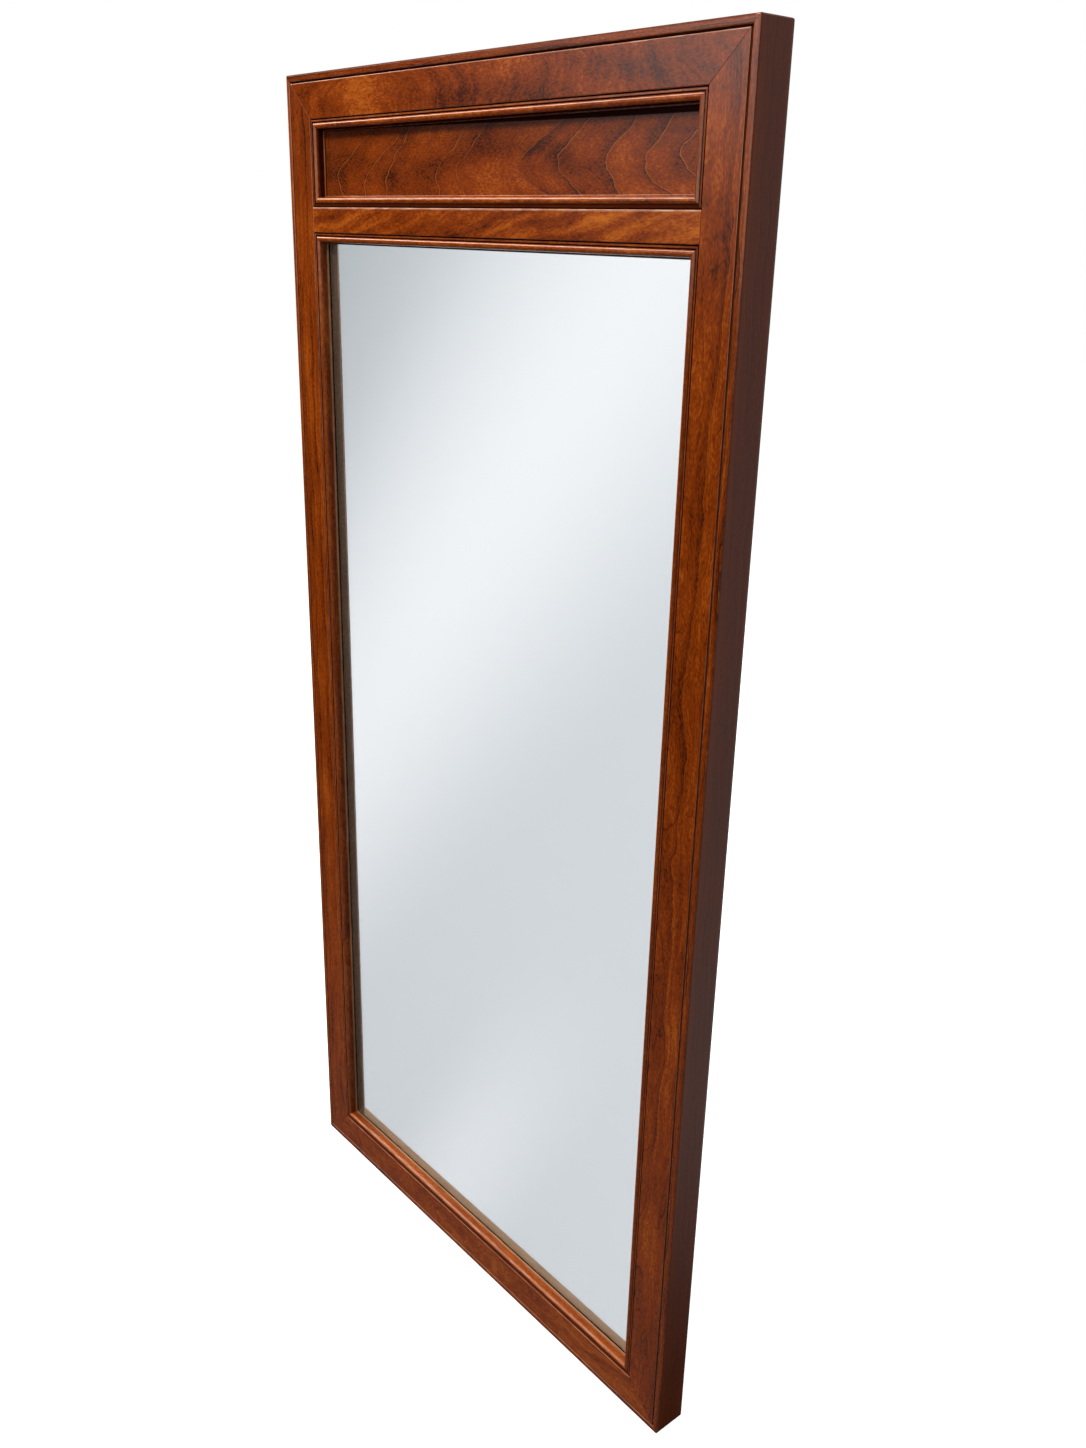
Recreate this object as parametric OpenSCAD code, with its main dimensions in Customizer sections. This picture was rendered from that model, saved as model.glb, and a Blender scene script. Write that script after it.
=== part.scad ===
// Framed wall mirror: a deep mitred case round a flat cherry face frame,
// a recessed veneer panel above and a plate mirror below, hung on two D-rings.
// X runs to the viewer's right, Y runs back to the wall, Z runs up.
// The origin is under the middle of the case, half way back, on its bottom edge.

/* [Case] */
// Width over the case
mirror_w = 711; // [560:1:900]
// Height over the case
mirror_h = 1456; // [1000:1:1900]
// Depth of the case from its front to the wall
case_depth = 45; // [34:0.5:60]
// Thickness of a case board behind the face frame
side_t = 13; // [12.5:0.5:20]
// Width of the rounded nose along a case board's front edge
nose_w = 7.4; // [5:0.1:9]
// Radius on the outside of the nose
nose_outer_r = 2.2; // [0.5:0.1:3]
// Radius on the inside of the nose
nose_inner_r = 1.3; // [0.5:0.1:2]
// Width of the shadow groove between the nose and the face frame
groove_w = 1.8; // [1.5:0.1:3.2]
// Depth of the shadow groove
groove_d = 3.4; // [2:0.1:8]
// Radius on the outer back edge of the case
back_round_r = 9; // [1:0.5:11]
// Radius on the two top corners of the case, seen from the front
corner_r = 1.6; // [0.5:0.1:3]
// Radius on the two bottom corners of the case, which have worn rounder
foot_corner_r = 6; // [0.5:0.5:8]

/* [Face frame] */
// Width of a stile's flat face
stile_face_w = 40.5; // [37:0.5:70]
// Width of the flat face of the top and bottom rails
rail_face_w = 38; // [34:0.5:70]
// Width of the rail between the two openings
mid_rail_w = 27; // [24:0.5:60]
// Thickness of the face frame
face_t = 18; // [16:0.5:24]
// Radius on the eased edges of the face frame
arris_r = 0.8; // [0.3:0.1:1.5]
// Height of the upper opening
panel_open_h = 92.5; // [70:0.5:260]

/* [Inner moulding] */
// Width of the dark gap beside the face frame
gap_w = 1.2; // [0.6:0.1:2.5]
// Depth of the dark gap
gap_d = 2.4; // [1:0.1:4]
// Width of the small fillet
fillet_w = 1.8; // [1:0.1:3]
// Drop of the fillet below the face
fillet_drop = 0.5; // [0.1:0.1:1.2]
// Width of the quirk between fillet and bead
quirk_w = 0.7; // [0.4:0.1:1.5]
// Depth of the quirk
quirk_d = 1.8; // [1.3:0.1:2.6]
// Radius of the bead
bead_r = 3.4; // [2.8:0.1:4.5]
// Width of the lip at the foot of the moulding
lip_w = 1.8; // [1:0.1:4]
// Thickness of the lip
lip_t = 1.8; // [1:0.1:3]
// Radius on the lip's edge
lip_r = 0.6; // [0.2:0.1:0.9]

/* [Panel and mirror plate] */
// Thickness of the veneered panel
panel_t = 6; // [5.5:0.5:8]
// Thickness of the plate glass
glass_t = 4; // [3:0.5:5]
// Thickness of the silvering with its backing paint
silver_t = 0.2; // [0.1:0.05:0.4]
// Height of the cork blocks under the plate
block_h = 3; // [1.5:0.5:5]
// Length of a cork block
block_len = 45; // [25:1:80]
// Width of a felt packer
packer_w = 25; // [15:1:40]
// Height of a felt packer
packer_h = 60; // [30:1:100]
// Rows of felt packers
packer_rows = 5; // [3:1:8]

/* [Back] */
// Thickness of the hardboard back
board_t = 3.2; // [2.5:0.1:6]
// Leg of a triangular corner block
corner_leg = 34; // [20:1:40]
// Thickness of a corner block
corner_t = 13; // [8:0.5:15]
// Screws up each side of the back
side_screws = 6; // [3:1:9]
// Screws along the top and along the bottom
rail_screws = 3; // [2:1:5]
// Screws along the middle rail
mid_screws = 3; // [2:1:5]
// Distance of the middle rail's outer screws from its ends
mid_screw_inset = 90; // [50:1:200]
// Distance of the screw line from the outside of the case
screw_inset = 19; // [18.5:0.5:21]
// Diameter of a back screw
screw_d = 3.5; // [3:0.1:4.5]
// Length of a back screw
screw_len = 16; // [12:0.5:17]
// Diameter of a back screw's head
screw_head_d = 7; // [6:0.1:8]
// Height of a back screw's head
screw_head_h = 2.2; // [1.5:0.1:3]

/* [Joints in the wood] */
// Diameter of a dowel
dowel_d = 6; // [4:0.5:8]
// Length of a dowel
dowel_len = 38; // [24:1:50]
// Distance between the two dowels at one end of the middle rail
dowel_pitch = 13; // [11:0.5:15]
// Thickness of a mitre spline
spline_t = 4; // [3:0.5:6]
// Width of a spline across the mitre
spline_w = 20; // [14:1:24]
// Length of a spline along the mitre
spline_len = 32; // [20:1:36]
// Least distance of a spline from the outside of the face frame
spline_inset = 1; // [0.5:0.1:3]

/* [Hangers] */
// Distance of the ring's pivot below the middle rail
hanger_drop = 83.5; // [60:0.5:250]
// Room between a ring and the head of a back screw beside it
hanger_side_room = 1; // [0.5:0.5:4]
// Width of a hanger strap
strap_w = 12; // [9:0.5:14]
// Length of a strap below its pivot
strap_len = 48; // [44:1:70]
// Thickness of the strap
strap_t = 1.5; // [1:0.1:2]
// Distance of the upper strap screw below the pivot
strap_screw_top = 13; // [12:0.5:14]
// Distance between the two strap screws
strap_screw_pitch = 25; // [18:0.5:28]
// Diameter of a strap screw
hanger_screw_d = 4; // [3:0.1:4.5]
// Length of a strap screw
hanger_screw_len = 18; // [14:0.5:19]
// Diameter of a strap screw's countersunk head
hanger_head_d = 7.4; // [6.5:0.1:8]
// Diameter of the ring's wire
wire_d = 3; // [2.4:0.1:3.6]
// Width over the ring
ring_w = 28; // [24:0.5:31]
// Length of the ring from its pivot to its outside
ring_len = 24; // [21:0.5:32]
// Radius of the ring's upper corners, on the wire's centre line
ring_corner_r = 3; // [2:0.5:3.5]

/* [Fits] */
// Gap at a glued joint
glue_gap = 0.05; // [0.02:0.01:0.2]
// Gap between mitred ends
mitre_gap = 0.1; // [0.02:0.02:0.4]
// Gap where one flat piece lies on another
seat_gap = 0.05; // [0.02:0.01:0.2]
// Room at each side of the plate and above it
glass_edge_gap = 1; // [0.5:0.1:3]
// Room round the veneered panel
panel_edge_gap = 0.5; // [0.2:0.1:2]
// Room round the hardboard back
board_edge_gap = 1.5; // [0.5:0.1:4]
// Room round a corner block where the back is cut away for it
block_edge_gap = 1; // [0.5:0.1:3]
// Radial gap of a screw in its pilot hole
screw_gap = 0.05; // [0.02:0.01:0.2]
// Radial gap of a screw where it passes through a thin piece
through_gap = 0.4; // [0.2:0.1:0.8]
// Radial gap of the ring's wire in the strap's barrel
pivot_gap = 0.05; // [0.02:0.01:0.1]
// Gap between a hanging ring and the strap under it
ring_lift = 0.45; // [0.3:0.05:1]

/* [Hidden] */
$fn = 48;
eps = 0.01;
cut = 1;
reach = 4 * case_depth;

case_wood = [0.27, 0.13, 0.09];
face_wood = [0.50, 0.24, 0.09];
bead_wood = [0.56, 0.28, 0.13];
panel_wood = [0.46, 0.21, 0.08];
pale_wood = [0.78, 0.64, 0.45];
hardboard = [0.42, 0.29, 0.19];
zinc = [0.72, 0.72, 0.70];
steel = [0.62, 0.63, 0.65];

half_w = mirror_w / 2;
front_y = -case_depth / 2;

// Distances inward from the outside of the case
face_x = nose_w + groove_w;
stile_in = face_x + stile_face_w;
rail_in = face_x + rail_face_w;

// The two openings in the face frame
open_x = half_w - stile_in;
panel_z1 = mirror_h - rail_in;
panel_z0 = panel_z1 - panel_open_h;
glass_z1 = panel_z0 - mid_rail_w;
glass_z0 = rail_in;
mid_rail_z = (panel_z0 + glass_z1) / 2;

// Section of the inner moulding: distances from the opening's edge
fillet_x = gap_w;
quirk_x = fillet_x + fillet_w;
bead_x = quirk_x + quirk_w + bead_r;
wall_x = bead_x + bead_r;
bead_total = wall_x + lip_w;

// Depths behind the face plane
bead_back_d = face_t - panel_t - 2 * seat_gap;
stop_d = bead_back_d + seat_gap;
silver_d = stop_d + glass_t + glue_gap;
packer_d = silver_d + silver_t + seat_gap;
board_d = face_t + seat_gap;
strap_d = board_d + board_t + seat_gap;

// Ring and barrel
wire_r = wire_d / 2;
barrel_in_r = wire_r + pivot_gap;
barrel_out_r = barrel_in_r + strap_t;
pivot_d = strap_d + strap_t + ring_lift + wire_r;
pivot_z = glass_z1 - hanger_drop;
ring_cl_w = ring_w - wire_d;
ring_bow_r = ring_cl_w / 2;
ring_leg = ring_len - wire_r - ring_bow_r;
hanger_x = half_w - screw_inset - screw_head_d / 2 - hanger_side_room - ring_w / 2;

// Screw lines on the back
first_side_z = side_t + corner_leg + screw_inset;
last_side_z = mirror_h - first_side_z;
side_pitch = (last_side_z - first_side_z) / (side_screws - 1);
side_screw_x = half_w - screw_inset;
first_rail_x = half_w - first_side_z;
rail_pitch = 2 * first_rail_x / (rail_screws - 1);
mid_screw_x = open_x - mid_screw_inset;
mid_pitch = 2 * mid_screw_x / (mid_screws - 1);

// Centres of the back screws, [x, z]
side_screw_at = [
    for (s = [-1, 1]) for (i = [0 : side_screws - 1]) [s * side_screw_x, first_side_z + i * side_pitch]
];
rail_screw_at = [
    for (z = [screw_inset, mirror_h - screw_inset]) for (i = [0 : rail_screws - 1])
        [-first_rail_x + i * rail_pitch, z]
];
mid_screw_at = [for (i = [0 : mid_screws - 1]) [-mid_screw_x + i * mid_pitch, mid_rail_z]];
back_screw_at = concat(side_screw_at, rail_screw_at, mid_screw_at);

// Centres of the strap screws, [x, z]
strap_screw_at = [
    for (s = [-1, 1]) for (i = [0, 1]) [s * hanger_x, pivot_z - strap_screw_top - i * strap_screw_pitch]
];

// The corner that is taken away from a square edge to leave a quarter round
module round_off(r) {
    difference() {
        translate([-cut, -cut])
            square(r + cut);
        translate([r, r])
            circle(r);
    }
}

// The four members of a mitred frame are one section, run round a rectangle.
// The section's X is the distance inward and its Y is the depth behind the face.
// w_up is the width at which uprights are mitred, and w_across that of the rails.
module upright_run(x0, z0, z1, w_up, w_across) {
    intersection() {
        translate([x0, front_y, z0])
            linear_extrude(z1 - z0)
                children();
        rotate([90, 0, 0])
            linear_extrude(reach, center = true)
                polygon([
                    [x0, z0 + mitre_gap], [x0 + w_up, z0 + w_across + mitre_gap],
                    [x0 + w_up, z1 - w_across - mitre_gap], [x0, z1 - mitre_gap]
                ]);
    }
}

module across_run(x0, x1, z0, w_up, w_across) {
    mirror([1, 0, -1])
        upright_run(z0, x0, x1, w_across, w_up)
            children();
}

module run_round(side, x_half, z0, z1, w_up, w_across) {
    if (side == "left")
        upright_run(-x_half, z0, z1, w_up, w_across)
            children();
    if (side == "right")
        mirror([1, 0, 0])
            upright_run(-x_half, z0, z1, w_up, w_across)
                children();
    if (side == "bottom")
        across_run(-x_half, x_half, z0, w_up, w_across)
            children();
    if (side == "top")
        translate([0, 0, z1 + z0])
            mirror([0, 0, 1])
                across_run(-x_half, x_half, z0, w_up, w_across)
                    children();
}

module pin_back(d, x, z, r, length) {
    translate([x, front_y + d, z])
        rotate([-90, 0, 0])
            cylinder(r = r, h = length);
}

// Case boards

module side_section() {
    difference() {
        union() {
            square([face_x, case_depth]);
            translate([0, face_t + glue_gap])
                square([side_t, case_depth - face_t - glue_gap]);
        }
        translate([nose_w, -cut])
            square([groove_w + cut, groove_d + cut]);
        round_off(nose_outer_r);
        translate([nose_w, 0])
            mirror([1, 0])
                round_off(nose_inner_r);
        translate([0, case_depth])
            mirror([0, 1])
                round_off(back_round_r);
    }
}

module case_outline() {
    hull()
        for (s = [-1, 1]) {
            translate([s * (half_w - foot_corner_r), foot_corner_r])
                circle(foot_corner_r);
            translate([s * (half_w - corner_r), mirror_h - corner_r])
                circle(corner_r);
        }
}

module side_board(side) {
    color(case_wood)
        intersection() {
            run_round(side, half_w, 0, mirror_h, side_t, side_t)
                side_section();
            rotate([90, 0, 0])
                linear_extrude(reach, center = true)
                    case_outline();
        }
}

module left_side_board() { side_board("left"); }
module right_side_board() { side_board("right"); }
module top_side_board() { side_board("top"); }
module bottom_side_board() { side_board("bottom"); }

// Face frame

module face_section(w) {
    difference() {
        translate([glue_gap, 0])
            square([w - glue_gap, face_t]);
        translate([glue_gap, 0])
            round_off(arris_r);
        translate([w, 0])
            mirror([1, 0])
                round_off(arris_r);
    }
}

// Slots or splines: a flat block across each mitre, half way through the boards
module at_mitres(clear) {
    tilt = atan2(rail_face_w, stile_face_w);
    along = spline_len / 2 + max(
        (spline_w / 2 * cos(tilt) + spline_inset) / sin(tilt),
        (spline_w / 2 * sin(tilt) + spline_inset) / cos(tilt)
    );
    for (sx = [-1, 1]) {
        for (sz = [-1, 1])
            translate([
                sx * (half_w - face_x - along * cos(tilt)), front_y + face_t / 2,
                mirror_h / 2 + sz * (mirror_h / 2 - face_x - along * sin(tilt))
            ])
                rotate([0, sx * sz * -tilt, 0])
                    cube(
                        [spline_len + 2 * clear, spline_t + 2 * clear, spline_w + 2 * clear],
                        center = true
                    );
    }
}

module at_dowels(clear) {
    for (s = [-1, 1]) {
        for (k = [-1, 1])
            translate([s * open_x, front_y + face_t / 2, mid_rail_z + k * dowel_pitch / 2])
                rotate([0, 90, 0])
                    cylinder(d = dowel_d + 2 * clear, h = dowel_len + 2 * clear, center = true);
    }
}

module back_pilots() {
    for (p = back_screw_at)
        pin_back(board_d + board_t - screw_len - screw_gap, p[0], p[1],
            screw_d / 2 + screw_gap, screw_len);
    for (p = strap_screw_at)
        pin_back(strap_d + strap_t - hanger_screw_len - screw_gap, p[0], p[1],
            hanger_screw_d / 2 + screw_gap, hanger_screw_len);
}

module face_board(side, w) {
    color(face_wood)
        difference() {
            run_round(side, half_w - face_x, face_x, mirror_h - face_x, stile_face_w, rail_face_w)
                face_section(w);
            at_mitres(glue_gap);
            at_dowels(glue_gap);
            back_pilots();
        }
}

module left_stile() { face_board("left", stile_face_w); }
module right_stile() { face_board("right", stile_face_w); }
module top_rail() { face_board("top", rail_face_w); }
module bottom_rail() { face_board("bottom", rail_face_w); }

module middle_rail() {
    rail_len = 2 * (open_x - glue_gap);
    color(face_wood)
        difference() {
            translate([-rail_len / 2, front_y, glass_z1])
                mirror([1, 0, -1])
                    linear_extrude(rail_len)
                        difference() {
                            square([mid_rail_w, face_t]);
                            round_off(arris_r);
                            translate([mid_rail_w, 0])
                                mirror([1, 0])
                                    round_off(arris_r);
                        }
            at_dowels(glue_gap);
            back_pilots();
        }
}

module rail_dowels() {
    color(pale_wood)
        at_dowels(0);
}

module mitre_splines() {
    color(pale_wood)
        at_mitres(0);
}

module corner_blocks() {
    inner_x = half_w - side_t - glue_gap;
    inner_z = mirror_h / 2 - side_t - glue_gap;
    color(pale_wood)
        for (sx = [0, 1]) {
            for (sz = [0, 1])
                translate([0, 0, mirror_h / 2])
                    mirror([sx, 0, 0])
                        mirror([0, 0, sz])
                            translate([inner_x, front_y + board_d, inner_z])
                                rotate([-90, 0, 0])
                                    linear_extrude(corner_t)
                                        polygon([[0, 0], [-corner_leg, 0], [0, corner_leg]]);
        }
}

// Inner mouldings

module bead_section() {
    difference() {
        union() {
            translate([glue_gap, gap_d])
                square([quirk_x - glue_gap, bead_back_d - gap_d]);
            translate([fillet_x, fillet_drop])
                square([fillet_w, bead_back_d - fillet_drop]);
            translate([quirk_x - eps, quirk_d])
                square([bead_x - quirk_x + eps, bead_back_d - quirk_d]);
            translate([bead_x - eps, bead_r])
                square([bead_r + eps, bead_back_d - bead_r]);
            translate([bead_x, bead_r])
                circle(bead_r);
            translate([wall_x - eps, bead_back_d - lip_t])
                square([lip_w + eps, lip_t]);
        }
        translate([bead_total, bead_back_d - lip_t])
            mirror([1, 0])
                round_off(lip_r);
    }
}

module panel_bead(side) {
    color(bead_wood)
        run_round(side, open_x, panel_z0, panel_z1, bead_total, bead_total)
            bead_section();
}

module mirror_bead(side) {
    color(bead_wood)
        run_round(side, open_x, glass_z0, glass_z1, bead_total, bead_total)
            bead_section();
}

module panel_bead_left() { panel_bead("left"); }
module panel_bead_right() { panel_bead("right"); }
module panel_bead_top() { panel_bead("top"); }
module panel_bead_bottom() { panel_bead("bottom"); }
module mirror_bead_left() { mirror_bead("left"); }
module mirror_bead_right() { mirror_bead("right"); }
module mirror_bead_top() { mirror_bead("top"); }
module mirror_bead_bottom() { mirror_bead("bottom"); }

// Panel and plate

module sheet(x_half, z0, z1, d, t) {
    translate([-x_half, front_y + d, z0])
        cube([2 * x_half, t, z1 - z0]);
}

plate_x = open_x - glass_edge_gap;
plate_z0 = glass_z0 + block_h + seat_gap;
plate_z1 = glass_z1 - glass_edge_gap;

module veneer_panel() {
    color(panel_wood)
        sheet(
            open_x - panel_edge_gap, panel_z0 + panel_edge_gap, panel_z1 - panel_edge_gap,
            stop_d, panel_t
        );
}

module mirror_glass() {
    color([0.80, 0.88, 0.86, 0.5])
        sheet(plate_x, plate_z0, plate_z1, stop_d, glass_t);
}

module mirror_silvering() {
    color([0.86, 0.88, 0.90])
        sheet(plate_x, plate_z0, plate_z1, silver_d, silver_t);
}

module cork_blocks() {
    color([0.66, 0.48, 0.30])
        for (s = [-1, 1])
            translate([s * open_x / 2 - block_len / 2, front_y + stop_d, glass_z0])
                cube([block_len, glass_t, block_h]);
}

module felt_packers() {
    packer_t = board_d - seat_gap - packer_d;
    packer_x = plate_x - packer_w / 2;
    packer_z = plate_z0 + packer_h / 2;
    packer_pitch = (plate_z1 - plate_z0 - 2 * packer_h) / (packer_rows - 1);
    color([0.35, 0.36, 0.38])
        for (s = [-1, 1]) {
            for (i = [0 : packer_rows - 1])
                translate([
                    s * packer_x - packer_w / 2, front_y + packer_d, packer_z + i * packer_pitch
                ])
                    cube([packer_w, packer_t, packer_h]);
        }
}

// Back

module back_board() {
    bx = half_w - side_t - board_edge_gap;
    bz0 = side_t + board_edge_gap;
    bz1 = mirror_h - bz0;
    c = corner_leg - 2 * board_edge_gap + block_edge_gap * sqrt(2);
    color(hardboard)
        difference() {
            translate([0, front_y + board_d + board_t, 0])
                rotate([90, 0, 0])
                    linear_extrude(board_t)
                        polygon([
                            [-bx + c, bz0], [bx - c, bz0], [bx, bz0 + c], [bx, bz1 - c],
                            [bx - c, bz1], [-bx + c, bz1], [-bx, bz1 - c], [-bx, bz0 + c]
                        ]);
            for (p = back_screw_at)
                pin_back(board_d - cut, p[0], p[1], screw_d / 2 + through_gap, board_t + 2 * cut);
            for (p = strap_screw_at)
                pin_back(board_d - cut, p[0], p[1], hanger_head_d / 2 + through_gap, board_t + 2 * cut);
        }
}

// A cross recess for a screwdriver, cut down from a head's top
module cross_recess(head_d, depth) {
    arm = 0.55 * head_d;
    slot = 0.16 * head_d;
    for (a = [0, 90])
        rotate([0, 0, a])
            translate([-arm / 2, -slot / 2, -depth])
                cube([arm, slot, depth + cut]);
}

// A pan-head screw that points down, with the underside of its head at the origin
module pan_screw() {
    tip = screw_d;
    difference() {
        union() {
            translate([0, 0, -screw_len + tip])
                cylinder(d = screw_d, h = screw_len - tip + eps);
            translate([0, 0, -screw_len])
                cylinder(r1 = screw_d / 8, r2 = screw_d / 2, h = tip);
            cylinder(d = screw_head_d, h = screw_head_h / 2);
            translate([0, 0, screw_head_h / 2])
                cylinder(d1 = screw_head_d, d2 = 0.7 * screw_head_d, h = screw_head_h / 2);
        }
        translate([0, 0, screw_head_h])
            cross_recess(screw_head_d, screw_head_h * 0.6);
    }
}

module back_screws() {
    color(zinc)
        for (p = back_screw_at)
            translate([p[0], front_y + board_d + board_t + seat_gap, p[1]])
                rotate([-90, 0, 0])
                    pan_screw();
}

// Hangers

head_cone_h = (hanger_head_d - hanger_screw_d) / 2;

// A countersunk screw that points down, with the top of its head at the origin
module flat_screw() {
    tip = hanger_screw_d;
    difference() {
        union() {
            translate([0, 0, -head_cone_h])
                cylinder(d1 = hanger_screw_d, d2 = hanger_head_d, h = head_cone_h);
            translate([0, 0, -hanger_screw_len + tip])
                cylinder(d = hanger_screw_d, h = hanger_screw_len - tip - head_cone_h + eps);
            translate([0, 0, -hanger_screw_len])
                cylinder(r1 = hanger_screw_d / 8, r2 = hanger_screw_d / 2, h = tip);
        }
        cross_recess(hanger_head_d, head_cone_h * 0.6);
    }
}

module strap_screws() {
    color(steel)
        for (p = strap_screw_at)
            translate([p[0], front_y + strap_d + strap_t, p[1]])
                rotate([-90, 0, 0])
                    flat_screw();
}

module strap(s) {
    foot_r = strap_w / 2;
    sink = head_cone_h + 2 * through_gap;
    color(steel)
        difference() {
            union() {
                translate([s * hanger_x - strap_w / 2, front_y + strap_d, pivot_z - strap_len + foot_r])
                    cube([strap_w, strap_t, strap_len - foot_r]);
                pin_back(strap_d, s * hanger_x, pivot_z - strap_len + foot_r, foot_r, strap_t);
                translate([s * hanger_x, front_y + pivot_d, pivot_z])
                    rotate([0, 90, 0])
                        cylinder(r = barrel_out_r, h = strap_w, center = true);
            }
            translate([s * hanger_x, front_y + pivot_d, pivot_z])
                rotate([0, 90, 0])
                    cylinder(r = barrel_in_r, h = strap_w + 2 * cut, center = true);
            for (i = [0, 1])
                translate([
                    s * hanger_x, front_y + strap_d + strap_t - head_cone_h - through_gap,
                    pivot_z - strap_screw_top - i * strap_screw_pitch
                ])
                    rotate([-90, 0, 0])
                        cylinder(d1 = hanger_screw_d, d2 = hanger_screw_d + 2 * sink, h = sink);
        }
}

module left_strap() { strap(-1); }
module right_strap() { strap(1); }

// A closed D of round wire that hangs from its straight bar
module ring(s) {
    corner_x = ring_bow_r - ring_corner_r;
    color(steel)
        translate([s * hanger_x, front_y + pivot_d, pivot_z]) {
            rotate([0, 90, 0])
                cylinder(r = wire_r, h = 2 * corner_x, center = true);
            for (k = [0, 1])
                mirror([k, 0, 0]) {
                    translate([corner_x, 0, -ring_corner_r])
                        rotate([90, 0, 0])
                            rotate_extrude(angle = 90)
                                translate([ring_corner_r, 0])
                                    circle(wire_r);
                    translate([ring_bow_r, 0, -ring_leg])
                        cylinder(r = wire_r, h = ring_leg - ring_corner_r);
                }
            translate([0, 0, -ring_leg])
                rotate([90, 0, 0])
                    rotate_extrude(angle = -180)
                        translate([ring_bow_r, 0])
                            circle(wire_r);
        }
}

module left_ring() { ring(-1); }
module right_ring() { ring(1); }

left_side_board();
right_side_board();
top_side_board();
bottom_side_board();
left_stile();
right_stile();
top_rail();
bottom_rail();
middle_rail();
rail_dowels();
mitre_splines();
corner_blocks();
panel_bead_left();
panel_bead_right();
panel_bead_top();
panel_bead_bottom();
mirror_bead_left();
mirror_bead_right();
mirror_bead_top();
mirror_bead_bottom();
veneer_panel();
mirror_glass();
mirror_silvering();
cork_blocks();
felt_packers();
back_board();
back_screws();
left_strap();
right_strap();
strap_screws();
left_ring();
right_ring();
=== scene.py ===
# %% [markdown]
# # A framed wall mirror
#
# The mirror is a deep cherry case round a flat face frame, with a recessed veneer panel above
# and a plate below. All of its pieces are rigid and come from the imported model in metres, so
# this script gives them their finish, their light and a camera, and moves none of them.

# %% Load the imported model
import math

import bpy
from mathutils import Matrix, Vector


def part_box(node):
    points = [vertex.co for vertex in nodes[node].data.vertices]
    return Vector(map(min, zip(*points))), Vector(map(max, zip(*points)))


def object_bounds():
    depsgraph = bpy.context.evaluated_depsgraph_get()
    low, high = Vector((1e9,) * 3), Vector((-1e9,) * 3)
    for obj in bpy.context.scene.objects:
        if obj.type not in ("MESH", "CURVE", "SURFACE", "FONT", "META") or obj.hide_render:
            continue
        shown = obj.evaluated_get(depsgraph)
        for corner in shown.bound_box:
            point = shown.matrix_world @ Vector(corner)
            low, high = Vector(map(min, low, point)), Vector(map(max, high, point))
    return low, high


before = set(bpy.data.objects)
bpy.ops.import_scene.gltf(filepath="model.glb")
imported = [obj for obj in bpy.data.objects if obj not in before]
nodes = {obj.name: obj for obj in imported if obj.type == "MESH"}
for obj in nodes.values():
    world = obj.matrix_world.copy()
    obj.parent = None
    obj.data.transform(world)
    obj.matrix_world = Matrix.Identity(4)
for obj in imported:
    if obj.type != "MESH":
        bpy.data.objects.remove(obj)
cad_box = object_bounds()

# %% [markdown]
# The finishes need a few sizes of the real mirror. They are measured on the pieces, so they
# follow the model: its outline, the front of its face boards, and the two openings that the
# small inner mouldings line.

# %% Measure the pieces
MM = 0.001
OUTSIDE = cad_box[1].x
TOP = cad_box[1].z
FRONT = cad_box[0].y
FACE_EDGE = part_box("right_stile")[1].x
OPENING_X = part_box("mirror_bead_right")[1].x
GLASS_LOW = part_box("mirror_bead_bottom")[0].z
GLASS_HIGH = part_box("mirror_bead_top")[1].z
PANEL_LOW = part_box("panel_bead_bottom")[0].z
PANEL_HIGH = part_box("panel_bead_top")[1].z
print(f"{2 * OUTSIDE:.3f} m wide, {TOP:.3f} m high, opening {2 * OPENING_X:.3f} m wide")

# %% [markdown]
# The camera stands where the photographer stood: to the right of the mirror, a little above
# its middle and looking down. Four corners, the two openings and the back edge in the picture
# fix the place, the turn and the lens, so all of them are plain values here.

# %% Set the camera
CAMERA_PLACE = Vector((1.0956, FRONT - 0.8390, 1.2979))
LOOK = Vector((-0.70760, 0.61044, -0.35590))
RIGHT = Vector((0.64637, 0.76268, 0.02305))
LENS_MM = 32.24
SENSOR_MM = 36
FARTHEST_SEEN = 60

camera = bpy.data.objects.new("camera", bpy.data.cameras.new("camera"))
camera.data.lens = LENS_MM
camera.data.sensor_width = SENSOR_MM
camera.data.clip_end = FARTHEST_SEEN
camera.matrix_world = Matrix.Translation(CAMERA_PLACE) @ Matrix(
    (RIGHT, RIGHT.cross(LOOK), -LOOK)).transposed().to_4x4()
bpy.context.scene.collection.objects.link(camera)
bpy.context.scene.camera = camera
print("camera", LENS_MM, "mm at", [round(c, 3) for c in CAMERA_PLACE])

# %% [markdown]
# A finish is a sum of layers: rings, stain, flecks, grime. Written as Blender nodes it is a
# long net, and written as arithmetic it is one line. So a Signal wraps a socket and turns
# each plus or times into a Math node, or a Vector Math node where a colour is in the sum.

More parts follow.
